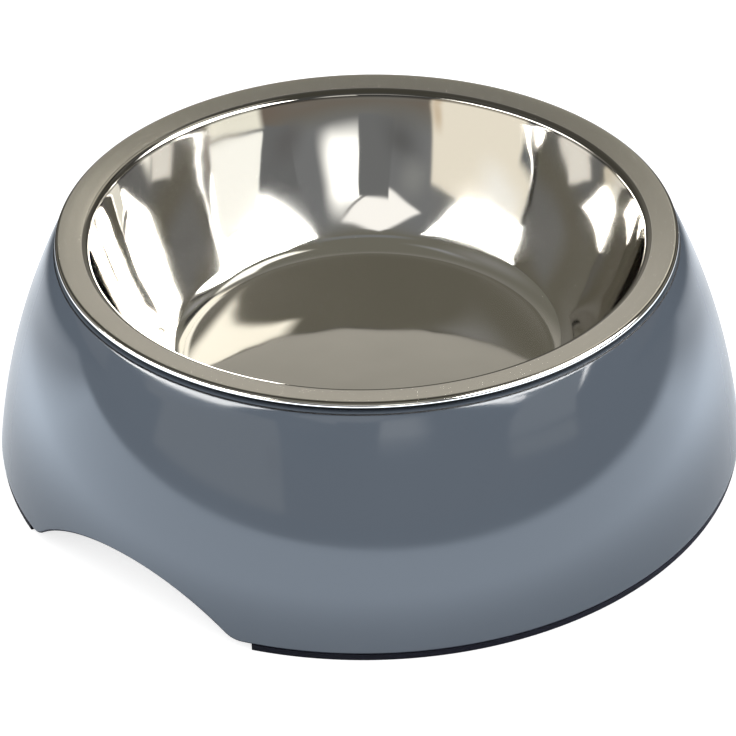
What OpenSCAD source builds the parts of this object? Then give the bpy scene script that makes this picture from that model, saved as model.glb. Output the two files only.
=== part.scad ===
// A steel dog bowl that drops into a moulded bell-shaped stand, which rests on two rubber strips.
// Origin: the middle of the floor under the stand. +Z is up, and the hand grips face -X and +X.

/* [Overall] */
// Height from the floor to the top of the rim's rolled edge
total_h = 63; // [56:0.5:80]

/* [Steel bowl] */
// Outside diameter of the rolled rim
rim_d = 161.6; // [158:0.2:168]
// Width of the rim, from its rolled edge to the top of the bowl's wall
rim_w = 8.8; // [8:0.1:11]
// How far the rim slopes down towards the inside
rim_dish = 1; // [0.4:0.1:1.6]
// Depth inside, from the top of the rolled edge to the base's edge
bowl_depth = 42; // [30:0.5:46]
// Sheet thickness
steel_t = 0.7; // [0.5:0.05:0.8]
// Diameter of the bead rolled under the rim's outer edge
rim_bead_d = 2.2; // [2:0.1:3]
// Radius where the rim turns down into the wall
rim_turn_r = 2.2; // [1.4:0.1:2.8]
// Radius of the corner between the wall and the base
base_corner_r = 8; // [5:0.5:11]
// Slope of the slightly crowned base at its edge
base_crown = 1.8; // [0.6:0.2:3]
// Lean of the wall from upright, just under the rim
wall_lean_top = 18; // [14:0.5:20]
// Lean of the wall from upright, where the base corner starts
wall_lean_foot = 31.5; // [28:0.5:36]
// How far round the rolled bead goes
bead_sweep = 250; // [200:5:270]

/* [Stand] */
// Outside diameter at the foot
stand_d = 200; // [192:1:220]
// Wall thickness of the shell
stand_wall = 3; // [2.4:0.1:3.4]
// How far the side bulges out from a straight cone
bell_bulge = 2.6; // [1.5:0.1:3.6]
// How far the shoulder stands out beyond the steel rim
shoulder_step = 0.5; // [0.1:0.1:0.8]
// Radius of the shoulder's rounded top edge
shoulder_r = 0.9; // [0.5:0.1:1.2]
// Thickness of the flange that carries the bowl
flange_t = 3.2; // [2.4:0.1:4]
// Width of the raised ring that the rim sits on
seat_w = 3; // [2:0.1:3.4]
// Length of the collar below the flange
collar_h = 6; // [3:0.5:10]
// Wall thickness of the collar
collar_wall = 2.4; // [1.8:0.1:2.8]
// Width of the thickened foot
foot_w = 5.2; // [5:0.1:6.5]
// Height of the thickened foot on its inner side
foot_h = 5; // [4.4:0.1:8]

/* [Hand grips] */
// Width of each grip's arch at floor level
grip_w = 71; // [56:1:90]
// Height of the arch above the floor
grip_rise = 15; // [11:0.5:20]
// Radius that blends the arch into the stand's lower edge
grip_blend_r = 7; // [3:0.5:9]

/* [Non-slip strips] */
// Height of the strip below the stand's lower edge
strip_h = 2; // [1.4:0.1:3]
// Width of the strip's tread
strip_w = 4.3; // [4:0.1:4.8]
// How far the tread is set in from the stand's outside
strip_inset = 0.3; // [0:0.1:0.5]
// Width of the stem pressed into the stand's groove
stem_w = 2; // [1.4:0.1:2.2]
// Height of the stem
stem_h = 2.4; // [1.8:0.1:3]

/* [Clearances] */
// Gap between the rim and the seat ring
seat_gap = 0.1; // [0.05:0.05:0.3]
// Gap between the rolled bead and the stand's shoulder
bead_gap = 0.3; // [0.2:0.05:0.6]
// Gap between the bowl's wall and the collar
well_gap = 0.9; // [0.5:0.1:1.5]
// Gap round the stem in its groove
groove_gap = 0.1; // [0.05:0.05:0.2]
// Gap between a strip's end and the start of the grip's blend
strip_end_gap = 0.4; // [0.2:0.1:2]

/* [Hidden] */

// How far a cut runs past the face it opens
cut_overrun = 4;
// Turn between the points of a short round, and of a long shallow curve
short_step = 9;
long_step = 1.5;
$fn = 180;

// A point at distance r from c, at an angle counted from the outward direction
function polar(c, r, angle) = c + r * [cos(angle), sin(angle)];

// Points of an arc round c, from one angle to another
function arc_points(c, r, from, to, step) =
    let (count = max(2, ceil(abs(to - from) / step)))
    [for (i = [0:count]) polar(c, r, from + (to - from) * i / count)];

function reversed(points) = [for (i = [len(points) - 1:-1:0]) points[i]];

// Steel bowl: the skin's arcs share their centres, so every offset of it has the same thickness
rim_r = rim_d / 2;
bead_r = rim_bead_d / 2;
bead_centre = [rim_r - bead_r, total_h - bead_r];
base_z = total_h - bowl_depth;
wall_top = [rim_r - rim_w, total_h - rim_dish - rim_turn_r * (1 - sin(wall_lean_top))];
wall_foot_z = base_z + base_corner_r * (1 - sin(wall_lean_foot));
wall_r = (wall_top[1] - wall_foot_z) / (sin(wall_lean_foot) - sin(wall_lean_top));
wall_centre = polar(wall_top, wall_r, 180 - wall_lean_top);
rim_turn_centre = polar(wall_top, rim_turn_r, -wall_lean_top);
base_corner_centre = polar(wall_centre, wall_r - base_corner_r, -wall_lean_foot);
base_edge = polar(base_corner_centre, base_corner_r, -90 - base_crown);
base_crown_r = base_edge[0] / sin(base_crown);
base_crown_centre = [0, base_edge[1] - base_crown_r * cos(base_crown)];

// Rim: the line that touches the turn and the bead from above
rim_run = bead_centre - rim_turn_centre;
rim_slope = atan2(rim_run[1], rim_run[0]) + asin((bead_r - rim_turn_r) / norm(rim_run));
rim_touch = polar(rim_turn_centre, rim_turn_r, 90 + rim_slope);

// Height of the rim sheet's underside at a radius
function rim_under(r) = rim_touch[1] + (r - rim_touch[0]) * tan(rim_slope) - steel_t / cos(rim_slope);

// Stand: the levels and radii at which it meets the bowl
foot_z = strip_h;
foot_r = stand_d / 2;
shoulder_z = total_h - rim_bead_d - bead_gap;
flange_z = shoulder_z - flange_t;
collar_z = flange_z - collar_h;
well_r = wall_top[0] + steel_t + well_gap;
foot_top_z = foot_z + foot_h;

// Bell curve: one arc from the foot to the shoulder
shoulder = [rim_r + shoulder_step, shoulder_z];
foot = [foot_r, foot_z];
bell_chord = norm(shoulder - foot);
bell_r = bell_chord * bell_chord / (8 * bell_bulge) + bell_bulge / 2;
bell_lean = atan2(foot[0] - shoulder[0], shoulder[1] - foot[1]);
bell_centre = polar((shoulder + foot) / 2, bell_r - bell_bulge, bell_lean + 180);
bell_foot_angle = asin((foot_z - bell_centre[1]) / bell_r);
bell_in_r = bell_r - stand_wall;

// Shoulder round: it touches the bell curve from inside and the flange's top from below
shoulder_round_z = shoulder_z - shoulder_r;
shoulder_round_angle = asin((shoulder_round_z - bell_centre[1]) / (bell_r - shoulder_r));
shoulder_round_centre = polar(bell_centre, bell_r - shoulder_r, shoulder_round_angle);

// Grip arch, in the plane across its opening: its arc, and the blend that ends it at the lower edge
grip_r = (grip_w * grip_w / 4 + grip_rise * grip_rise) / (2 * grip_rise);
grip_centre = [0, grip_rise - grip_r];
blend_z = foot_z + grip_blend_r;
blend_angle = asin((blend_z - grip_centre[1]) / (grip_r + grip_blend_r));
blend_centre = polar(grip_centre, grip_r + grip_blend_r, blend_angle);

// Strips: the tread's edges, the stem's middle and the angle that each grip leaves free
strip_out_r = foot_r - strip_inset;
strip_in_r = strip_out_r - strip_w;
stem_mid_r = (strip_out_r + strip_in_r) / 2;
strip_end_angle = asin((blend_centre[0] + strip_end_gap) / strip_in_r);

// The bowl's skin from the middle of the base to the end of the rolled bead, at a depth into the sheet
function bowl_skin(depth) = concat(
    arc_points(base_crown_centre, base_crown_r - depth, 90, 90 - base_crown / 2, long_step),
    arc_points(base_corner_centre, base_corner_r + depth, -90 - base_crown, -wall_lean_foot, short_step),
    arc_points(wall_centre, wall_r + depth, -wall_lean_foot, -wall_lean_top, long_step),
    arc_points(rim_turn_centre, rim_turn_r - depth, 180 - wall_lean_top, 90 + rim_slope, short_step),
    arc_points(bead_centre, bead_r - depth, 90 + rim_slope, 90 - bead_sweep, 2 * short_step)
);

module bowl_section() {
    polygon(concat(bowl_skin(0), reversed(bowl_skin(steel_t))));
}

// Half of the stand's section, from the foot's outer edge over the shoulder and down the inside
module stand_section() {
    inner_top_angle = asin((flange_z - bell_centre[1]) / bell_in_r);
    inner_foot_angle = asin((foot_top_z - bell_centre[1]) / bell_in_r);
    seat_out_r = well_r + seat_w;
    collar_out_r = well_r + collar_wall;
    foot_in_r = foot_r - foot_w;
    // The foot's thickening slopes back to the shell at half a right angle
    foot_slope_z = foot_top_z - (polar(bell_centre, bell_in_r, inner_foot_angle)[0] - foot_in_r);
    polygon(concat(
        arc_points(bell_centre, bell_r, bell_foot_angle, shoulder_round_angle, long_step),
        arc_points(shoulder_round_centre, shoulder_r, shoulder_round_angle, 90, short_step),
        [
            [seat_out_r, shoulder_z],
            [seat_out_r, rim_under(seat_out_r) - seat_gap],
            [well_r, rim_under(well_r) - seat_gap],
            [well_r, collar_z],
            [collar_out_r, collar_z],
            [collar_out_r, flange_z]
        ],
        arc_points(bell_centre, bell_in_r, inner_top_angle, inner_foot_angle, long_step),
        [[foot_in_r, foot_slope_z], [foot_in_r, foot_z]]
    ));
}

// Outline of both arches, which is cut straight through the foot from side to side
module grip_outline() {
    right = concat(
        [[blend_centre[0], -cut_overrun], [blend_centre[0], foot_z]],
        arc_points(blend_centre, grip_blend_r, -90, blend_angle - 180, short_step),
        arc_points(grip_centre, grip_r, blend_angle, 90, long_step)
    );
    left = [for (p = reversed(right)) [-p[0], p[1]]];
    polygon(concat(right, left));
}

// The half turn of a strip on the front or the back, shortened at both grips, as a swept section
module strip_sweep(middle, end_angle) {
    rotate([0, 0, middle - 90 + end_angle])
        rotate_extrude(angle = 180 - 2 * end_angle)
            children();
}

module strip_groove(middle) {
    end_gap_angle = asin(groove_gap / strip_in_r);
    strip_sweep(middle, strip_end_angle - end_gap_angle)
        translate([stem_mid_r - stem_w / 2 - groove_gap, foot_z - cut_overrun])
            square([stem_w + 2 * groove_gap, cut_overrun + stem_h + groove_gap]);
}

module non_slip_strip(middle) {
    color([0.08, 0.09, 0.13])
        strip_sweep(middle, strip_end_angle) {
            translate([strip_in_r, 0])
                square([strip_w, strip_h]);
            translate([stem_mid_r - stem_w / 2, 0])
                square([stem_w, strip_h + stem_h]);
        }
}

module stand() {
    color([0.49, 0.53, 0.59])
        difference() {
            rotate_extrude()
                stand_section();
            rotate([90, 0, 90])
                linear_extrude(height = stand_d + 2 * cut_overrun, center = true)
                    grip_outline();
            strip_groove(-90);
            strip_groove(90);
        }
}

module steel_bowl() {
    color([0.78, 0.78, 0.76])
        rotate_extrude()
            bowl_section();
}

module non_slip_strip_front() {
    non_slip_strip(-90);
}

module non_slip_strip_back() {
    non_slip_strip(90);
}

stand();
steel_bowl();
non_slip_strip_front();
non_slip_strip_back();
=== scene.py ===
"""Dresses a steel dog bowl that drops into a moulded stand, and lights it for a still picture.

The bowl, the stand and the two non-slip strips are turned from outlines that repeat the sizes of
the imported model. Lengths are in metres, with +Z up, and the hand grips face -X and +X.
"""

import logging
import math
from dataclasses import dataclass
from enum import Enum
from typing import Callable, Optional

import bpy
from mathutils import Matrix, Vector


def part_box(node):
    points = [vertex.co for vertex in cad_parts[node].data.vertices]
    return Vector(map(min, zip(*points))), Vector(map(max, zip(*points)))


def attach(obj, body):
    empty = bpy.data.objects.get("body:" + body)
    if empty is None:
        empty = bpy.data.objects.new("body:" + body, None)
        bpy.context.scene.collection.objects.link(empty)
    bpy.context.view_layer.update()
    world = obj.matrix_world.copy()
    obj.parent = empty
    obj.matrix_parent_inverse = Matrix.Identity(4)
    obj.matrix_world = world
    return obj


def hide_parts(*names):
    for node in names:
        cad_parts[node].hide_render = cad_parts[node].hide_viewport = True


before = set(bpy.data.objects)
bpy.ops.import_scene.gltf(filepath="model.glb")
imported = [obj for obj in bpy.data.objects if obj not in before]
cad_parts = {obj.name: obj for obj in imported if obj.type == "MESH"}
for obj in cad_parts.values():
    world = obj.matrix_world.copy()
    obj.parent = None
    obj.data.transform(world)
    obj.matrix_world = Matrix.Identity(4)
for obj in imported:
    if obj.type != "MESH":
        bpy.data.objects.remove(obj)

LOG = logging.getLogger("dog_bowl")
MM = 0.001
FULL_TURN = 360.0
QUARTER_TURN = 90.0
HALF_TURN = 180.0
# Points closer together than this are one point
WELD = 0.004 * MM
# Side of the small square that an outline's first point is merged from
SEED_SIZE = 1.0 * MM
# A distance past every piece, where a ring mask has no outer end
OPEN_END = 1.0
# Between these values of a drift pattern a finish runs from its one end to its other
DRIFT_LOW, DRIFT_HIGH = 0.3, 0.7

Point = tuple[float, float]
Colour = tuple[float, float, float, float]


class Body(Enum):
    """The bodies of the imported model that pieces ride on."""

    STAND = "stand"
    BOWL = "bowl"


class Slot(Enum):
    """The record's material slots."""

    SHELL = "stand_shell"
    STEEL = "steel"
    RUBBER = "strip_rubber"


def screen_colour(red: int, green: int, blue: int) -> Colour:
    """Turns a colour as a screen shows it into the linear one that a shader takes.

    Args:
        red: Red from 0 to 255.
        green: Green from 0 to 255.
        blue: Blue from 0 to 255.

    Returns:
        The linear colour with full opacity.
    """
    shares = [value / 255 for value in (red, green, blue)]
    linear = [s / 12.92 if s <= 0.04045 else ((s + 0.055) / 1.055) ** 2.4 for s in shares]
    return (linear[0], linear[1], linear[2], 1.0)


def dimmed(colour: tuple[float, ...], share: float) -> Colour:
    """Gives a colour at a share of its light, with full opacity."""
    return (colour[0] * share, colour[1] * share, colour[2] * share, 1.0)


def polar(centre: Point, radius: float, degrees: float) -> Point:
    """Gives the point at a distance and an angle from a centre, with outwards at 0 degrees."""
    angle = math.radians(degrees)
    return (centre[0] + radius * math.cos(angle), centre[1] + radius * math.sin(angle))


def deselect_all() -> None:
    """Leaves nothing selected and no object in edit mode."""
    if bpy.context.mode != "OBJECT":
        bpy.ops.object.mode_set(mode="OBJECT")
    bpy.ops.object.select_all(action="DESELECT")


def pick_out(piece: bpy.types.Object) -> None:
    """Selects one object alone and makes it the active one.

    Args:
        piece: The object.
    """
    deselect_all()
    piece.select_set(True)
    bpy.context.view_layer.objects.active = piece


def edit(piece: bpy.types.Object) -> None:
    """Opens one object in edit mode with all of it selected.

    Args:
        piece: The object.
    """
    pick_out(piece)
    bpy.ops.object.mode_set(mode="EDIT")
    bpy.ops.mesh.select_all(action="SELECT")


def apply_modifier(piece: bpy.types.Object, kind: str, **settings: object) -> None:
    """Adds a modifier to a piece and applies it.

    Args:
        piece: The object that is shaped.
        kind: Blender's name for the modifier.
        **settings: The modifier's values by name.
    """
    pick_out(piece)
    modifier = piece.modifiers.new(kind.title(), kind)
    for name, value in settings.items():
        setattr(modifier, name, value)
    bpy.ops.object.modifier_apply(modifier=modifier.name)


class Pen:
    """Draws a turned piece's outline in the plane of +X and +Z, and spins it about +Z."""

    def __init__(self, name: str, start: Point) -> None:
        """Puts the pen down.

        Args:
            name: The name of the piece.
            start: The outline's first point, as radius and height.
        """
        deselect_all()
        bpy.ops.mesh.primitive_plane_add(size=SEED_SIZE, location=(start[0], 0, start[1]))
        self.piece = bpy.context.object
        self.piece.name = name
        self.piece.data.name = name
        bpy.ops.object.transform_apply(location=True, rotation=True, scale=True)
        bpy.ops.object.mode_set(mode="EDIT")
        bpy.ops.mesh.select_all(action="SELECT")
        bpy.ops.mesh.merge(type="CENTER")
        self.start = start
        self.at = start

    def line_to(self, point: Point, steps: int = 1) -> None:
        """Draws a straight line from where the pen is.

        Args:
            point: The line's end, as radius and height.
            steps: How many edges the line has.
        """
        move = ((point[0] - self.at[0]) / steps, 0, (point[1] - self.at[1]) / steps)
        for _ in range(steps):
            bpy.ops.mesh.extrude_vertices_move(TRANSFORM_OT_translate={"value": move})
        self.at = point

    def arc(self, centre: Point, sweep: float, steps: int) -> None:
        """Draws an arc from where the pen is.

        Args:
            centre: The arc's centre, as radius and height.
            sweep: How far round it goes in degrees, positive from outwards to upwards.
            steps: How many edges the arc has.
        """
        bpy.ops.mesh.spin(
            steps=steps,
            angle=math.radians(sweep),
            center=(centre[0], 0, centre[1]),
            axis=(0, 1, 0),
        )
        radius = math.dist(centre, self.at)
        angle = math.degrees(math.atan2(self.at[1] - centre[1], self.at[0] - centre[0]))
        self.at = polar(centre, radius, angle + sweep)

    def close(self) -> None:
        """Draws the last line back to where the outline began."""
        self.line_to(self.start)

    def turn(self, steps: int, sweep: float = FULL_TURN, begin: float = 0.0) -> bpy.types.Object:
        """Spins the outline about +Z and makes its faces point outwards.

        Args:
            steps: How many columns of faces the turned surface has.
            sweep: How far round it goes, in degrees.
            begin: The angle from +X at which it begins, in degrees.

        Returns:
            The turned piece, at the origin.
        """
        bpy.ops.mesh.select_all(action="SELECT")
        bpy.ops.mesh.remove_doubles(threshold=WELD)
        if begin:
            bpy.ops.object.mode_set(mode="OBJECT")
            self.piece.data.transform(Matrix.Rotation(math.radians(begin), 4, "Z"))
            bpy.ops.object.mode_set(mode="EDIT")
            bpy.ops.mesh.select_all(action="SELECT")
        bpy.ops.mesh.spin(steps=steps, angle=math.radians(sweep), center=(0, 0, 0), axis=(0, 0, -1))
        bpy.ops.mesh.select_all(action="SELECT")
        bpy.ops.mesh.remove_doubles(threshold=WELD)
        bpy.ops.mesh.normals_make_consistent(inside=False)
        bpy.ops.object.mode_set(mode="OBJECT")
        return self.piece


def smooth_by_angle(piece: bpy.types.Object, degrees: float) -> None:
    """Shades a piece smooth, apart from the edges that are sharper than an angle."""
    pick_out(piece)
    bpy.ops.object.shade_smooth_by_angle(angle=math.radians(degrees))


@dataclass
class SteelBowl:
    """The bowl drawn from one steel sheet, with a dished rim whose edge is rolled under."""

    rim_width: float = 8.8 * MM
    rim_dish: float = 1.0 * MM
    sheet: float = 0.7 * MM
    bead_radius: float = 1.1 * MM
    turn_radius: float = 2.2 * MM
    corner_radius: float = 8.0 * MM
    base_crown: float = 1.8
    lean_top: float = 18.0
    lean_foot: float = 31.5
    bead_sweep: float = 250.0
    # How finely each stretch of the outline is drawn
    columns: int = 400
    base_steps: int = 12
    corner_steps: int = 18
    wall_steps: int = 26
    turn_steps: int = 14
    rim_steps: int = 3
    bead_steps: int = 26
    smooth_angle: float = 40.0

    def __post_init__(self) -> None:
        """Works out the outline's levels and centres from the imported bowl's box."""
        low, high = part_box("steel_bowl")
        self.rim_radius = high.x
        self.top = high.z
        self.base = low.z + self.sheet
        self.bead_centre = (self.rim_radius - self.bead_radius, self.top - self.bead_radius)
        sine_top = math.sin(math.radians(self.lean_top))
        sine_foot = math.sin(math.radians(self.lean_foot))
        inner_top = self.top - self.rim_dish
        wall_top_z = inner_top - self.turn_radius * (1 - sine_top)
        self.wall_top = (self.rim_radius - self.rim_width, wall_top_z)
        wall_foot = self.base + self.corner_radius * (1 - sine_foot)
        self.wall_radius = (self.wall_top[1] - wall_foot) / (sine_foot - sine_top)
        self.wall_centre = polar(self.wall_top, self.wall_radius, HALF_TURN - self.lean_top)
        self.turn_centre = polar(self.wall_top, self.turn_radius, -self.lean_top)
        corner_reach = self.wall_radius - self.corner_radius
        self.corner_centre = polar(self.wall_centre, corner_reach, -self.lean_foot)
        edge = polar(self.corner_centre, self.corner_radius, -QUARTER_TURN - self.base_crown)
        crown = math.radians(self.base_crown)
        self.crown_radius = edge[0] / math.sin(crown)
        self.crown_centre = (0.0, edge[1] - self.crown_radius * math.cos(crown))
        run = Vector(self.bead_centre) - Vector(self.turn_centre)
        level = math.asin((self.bead_radius - self.turn_radius) / run.length)
        self.rim_slope = math.degrees(math.atan2(run.y, run.x) + level)

    def rim_under(self, radius: float) -> float:
        """Gives the height of the rim sheet's underside.

        Args:
            radius: The distance from the bowl's axis.

        Returns:
            The height above the floor.
        """
        slope = math.radians(self.rim_slope)
        touch = polar(self.turn_centre, self.turn_radius, QUARTER_TURN + self.rim_slope)
        return touch[1] + (radius - touch[0]) * math.tan(slope) - self.sheet / math.cos(slope)

    def build(self) -> bpy.types.Object:
        """Draws the skin that shows, spins it and gives it the sheet's thickness.

        Returns:
            The finished bowl.
        """
        slope = self.rim_slope
        pen = Pen("drawn_steel_bowl", (0.0, self.crown_centre[1] + self.crown_radius))
        pen.arc(self.crown_centre, -self.base_crown, self.base_steps)
        corner_sweep = QUARTER_TURN + self.base_crown - self.lean_foot
        pen.arc(self.corner_centre, corner_sweep, self.corner_steps)
        pen.arc(self.wall_centre, self.lean_foot - self.lean_top, self.wall_steps)
        pen.arc(self.turn_centre, self.lean_top + slope - QUARTER_TURN, self.turn_steps)
        bead_start = polar(self.bead_centre, self.bead_radius, QUARTER_TURN + slope)
        pen.line_to(bead_start, self.rim_steps)
        pen.arc(self.bead_centre, -self.bead_sweep - slope, self.bead_steps)
        piece = pen.turn(self.columns)
        self.face_up(piece)
        apply_modifier(piece, "SOLIDIFY", thickness=self.sheet, offset=-1, use_even_offset=True)
        smooth_by_angle(piece, self.smooth_angle)
        return piece

    def face_up(self, piece: bpy.types.Object) -> None:
        """Turns the skin's faces round where the base looks down, so that its thickness goes below.

        Args:
            piece: The skin.
        """
        base = min(piece.data.polygons, key=lambda face: face.center.xy.length)
        if base.normal.z < 0:
            edit(piece)
            bpy.ops.mesh.flip_normals()
            bpy.ops.object.mode_set(mode="OBJECT")


@dataclass
class HandGrip:
    """The arch that is cut straight through the stand's foot, from side to side."""

    foot: float
    width: float = 71.0 * MM
    rise: float = 15.0 * MM
    blend_radius: float = 7.0 * MM

    def __post_init__(self) -> None:
        """Works out the arch's circle and the circles that blend it into the lower edge."""
        self.radius = (self.width**2 / 4 + self.rise**2) / (2 * self.rise)
        self.centre = self.rise - self.radius
        self.blend_height = self.foot + self.blend_radius
        reach = self.radius + self.blend_radius
        self.blend_middle = math.sqrt(reach**2 - (self.blend_height - self.centre) ** 2)
        self.meet = self.blend_middle * self.radius / reach

    def height(self, across: float) -> float:
        """Gives the height of the stand's lower edge.

        Args:
            across: The distance from the arch's middle.

        Returns:
            The height above the floor.
        """
        across = abs(across)
        if across >= self.blend_middle:
            return self.foot
        if across <= self.meet:
            return self.centre + math.sqrt(self.radius**2 - across**2)
        aside = self.blend_middle - across
        return self.blend_height - math.sqrt(self.blend_radius**2 - aside**2)


@dataclass(frozen=True)
class StripSizes:
    """The sizes of a non-slip strip's section and the angle that each grip leaves free."""

    height: float = 2.0 * MM
    width: float = 4.3 * MM
    inset: float = 0.3 * MM
    stem: float = 2.0 * MM
    stem_height: float = 2.4 * MM
    end_gap: float = 0.4 * MM
    corner: float = 0.45 * MM

    def outside(self, foot_radius: float) -> float:
        """Gives the tread's outer radius."""
        return foot_radius - self.inset

    def inside(self, foot_radius: float) -> float:
        """Gives the tread's inner radius."""
        return self.outside(foot_radius) - self.width

    def stem_middle(self, foot_radius: float) -> float:
        """Gives the radius of the stem's middle."""
        return self.outside(foot_radius) - self.width / 2

    def end_angle(self, foot_radius: float, grip: HandGrip) -> float:
        """Gives the angle between a grip's middle and the strip's end, in degrees."""
        side = (grip.blend_middle + self.end_gap) / self.inside(foot_radius)
        return math.degrees(math.asin(side))


@dataclass
class Stand:
    """The bell-shaped shell that carries the bowl on a seat ring and the strips in its foot."""

    bowl: SteelBowl
    # Sizes of the section that is turned
    wall: float = 3.0 * MM
    bulge: float = 2.6 * MM
    shoulder_step: float = 0.5 * MM
    crest_height: float = 5.6 * MM
    crest_radius: float = 50.0 * MM
    shoulder_radius: float = 1.1 * MM
    flange: float = 3.2 * MM
    seat_width: float = 3.0 * MM
    collar_height: float = 6.0 * MM
    collar_wall: float = 2.4 * MM
    foot_width: float = 5.2 * MM
    foot_height: float = 5.0 * MM
    seat_gap: float = 0.1 * MM
    bead_gap: float = 0.3 * MM
    well_gap: float = 0.9 * MM
    groove_gap: float = 0.1 * MM
    lip_radius: float = 0.75 * MM
    # Points below the first height slide up over the arches, and those this near a wall lie on it
    slide_top: float = 42.0 * MM
    near: float = 0.03 * MM
    inner_clear: float = 1.0 * MM
    # Faces that look down more than this get painted shade, up to this far above the arches
    underside_tilt: float = -0.05
    underside_margin: float = 2.0 * MM
    # How finely each stretch of the outline is drawn
    columns: int = 540
    bell_steps: int = 46
    inner_steps: int = 26
    crest_steps: int = 8
    shoulder_steps: int = 8
    lip_steps: int = 6
    seat_steps: int = 2
    collar_steps: int = 4
    collar_out_steps: int = 3
    foot_steps: int = 2
    meeting_rounds: int = 6
    side_digits: int = 6
    smooth_angle: float = 42.0
    strip: StripSizes = StripSizes()

    def __post_init__(self) -> None:
        """Works out the levels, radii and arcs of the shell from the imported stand's box."""
        low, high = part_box("stand")
        bead = 2 * self.bowl.bead_radius
        self.foot_z = low.z
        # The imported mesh's facets and grips take a little off the foot's true radius
        self.foot_radius = round(high.y / MM) * MM
        self.shoulder_z = self.bowl.top - bead - self.bead_gap
        self.flange_z = self.shoulder_z - self.flange
        self.collar_z = self.flange_z - self.collar_height
        self.well = self.bowl.wall_top[0] + self.bowl.sheet + self.well_gap
        self.foot_top = self.foot_z + self.foot_height
        shoulder = Vector((self.bowl.rim_radius + self.shoulder_step, self.shoulder_z))
        foot = Vector((self.foot_radius, self.foot_z))
        chord = (shoulder - foot).length
        self.bell_radius = chord**2 / (8 * self.bulge) + self.bulge / 2
        lean = math.degrees(math.atan2(foot.x - shoulder.x, shoulder.y - foot.y))
        middle = (shoulder + foot) / 2
        self.bell_centre = polar(tuple(middle), self.bell_radius - self.bulge, lean + HALF_TURN)
        self.grip = HandGrip(self.foot_z)
        self.foot_inside = self.foot_radius - self.foot_width
        inner_top = self.inner_bell(self.foot_top)
        self.slope_z = self.foot_top - (inner_top - self.foot_inside)

    def bell(self, height: float) -> float:
        """Gives the outside radius of the shell at a height."""
        drop = height - self.bell_centre[1]
        return self.bell_centre[0] + math.sqrt(self.bell_radius**2 - drop**2)

    def inner_bell(self, height: float) -> float:
        """Gives the inside radius of the plain shell at a height."""
        drop = height - self.bell_centre[1]
        return self.bell_centre[0] + math.sqrt((self.bell_radius - self.wall) ** 2 - drop**2)

    def inside(self, height: float) -> float:
        """Gives the inside radius of the shell, with the foot's thickening.

        Args:
            height: The height above the floor.

        Returns:
            The radius there.
        """
        if height <= self.slope_z:
            return self.foot_inside
        if height >= self.foot_top:
            return self.inner_bell(height)
        return self.foot_inside + (height - self.slope_z)

    def bell_angle(self, height: float, inset: float = 0.0) -> float:
        """Gives the angle on the bell's arc, or on one inset from it, that is at a height."""
        drop = (height - self.bell_centre[1]) / (self.bell_radius - inset)
        return math.degrees(math.asin(drop))

    def build(self) -> bpy.types.Object:
        """Turns the shell and lifts its lower edge over the grips.

        Returns:
            The finished stand.
        """
        piece = self.turned_shell()
        self.slide_over_grips(piece)
        smooth_by_angle(piece, self.smooth_angle)
        return piece

    def turned_shell(self) -> bpy.types.Object:
        """Draws the shell's closed outline and spins it.

        Returns:
            The plain turned shell, with no grips.
        """
        lip_angle = self.bell_angle(self.foot_z + self.lip_radius, self.lip_radius)
        lip_centre = polar(self.bell_centre, self.bell_radius - self.lip_radius, lip_angle)
        crest_angle = self.bell_angle(self.shoulder_z - self.crest_height)
        crest_centre = polar(self.bell_centre, self.bell_radius - self.crest_radius, crest_angle)
        round_reach = self.crest_radius - self.shoulder_radius
        round_rise = self.shoulder_z - self.shoulder_radius - crest_centre[1]
        round_angle = math.degrees(math.asin(round_rise / round_reach))
        round_centre = polar(crest_centre, round_reach, round_angle)
        inner_top = self.bell_angle(self.flange_z, self.wall)
        inner_foot = self.bell_angle(self.foot_top, self.wall)
        collar_out = self.well + self.collar_wall
        seat_out = self.well + self.seat_width
        stem_middle = self.strip.stem_middle(self.foot_radius)
        groove_out = stem_middle + self.strip.stem / 2 + self.groove_gap
        groove_in = groove_out - self.strip.stem - 2 * self.groove_gap
        groove_top = self.foot_z + self.strip.stem_height + self.groove_gap
        pen = Pen("moulded_stand", (lip_centre[0], self.foot_z))
        pen.arc(lip_centre, QUARTER_TURN + lip_angle, self.lip_steps)
        pen.arc(self.bell_centre, crest_angle - lip_angle, self.bell_steps)
        pen.arc(crest_centre, round_angle - crest_angle, self.crest_steps)
        pen.arc(round_centre, QUARTER_TURN - round_angle, self.shoulder_steps)
        pen.line_to((seat_out, self.shoulder_z), self.seat_steps)
        pen.line_to((seat_out, self.bowl.rim_under(seat_out) - self.seat_gap))
        pen.line_to((self.well, self.bowl.rim_under(self.well) - self.seat_gap))
        pen.line_to((self.well, self.collar_z), self.collar_steps)
        pen.line_to((collar_out, self.collar_z))
        pen.line_to((collar_out, self.flange_z), self.collar_out_steps)
        pen.line_to(polar(self.bell_centre, self.bell_radius - self.wall, inner_top))
        pen.arc(self.bell_centre, inner_foot - inner_top, self.inner_steps)
        pen.line_to((self.foot_inside, self.slope_z))
        pen.line_to((self.foot_inside, self.foot_z), self.foot_steps)
        pen.line_to((groove_in, self.foot_z))
        pen.line_to((groove_in, groove_top))
        pen.line_to((groove_out, groove_top))
        pen.line_to((groove_out, self.foot_z))
        pen.close()
        return pen.turn(self.columns)

    def lower_edge(self, side: float, radius_at: Callable[[float], float]) -> float:
        """Finds where the arch meets a wall of the shell.

        Args:
            side: The sine of the angle between the place and the grip's middle.
            radius_at: Gives the wall's radius at a height.

        Returns:
            The height of the lower edge there.
        """
        height = self.foot_z
        for _ in range(self.meeting_rounds):
            height = self.grip.height(radius_at(height) * side)
        return height

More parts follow.
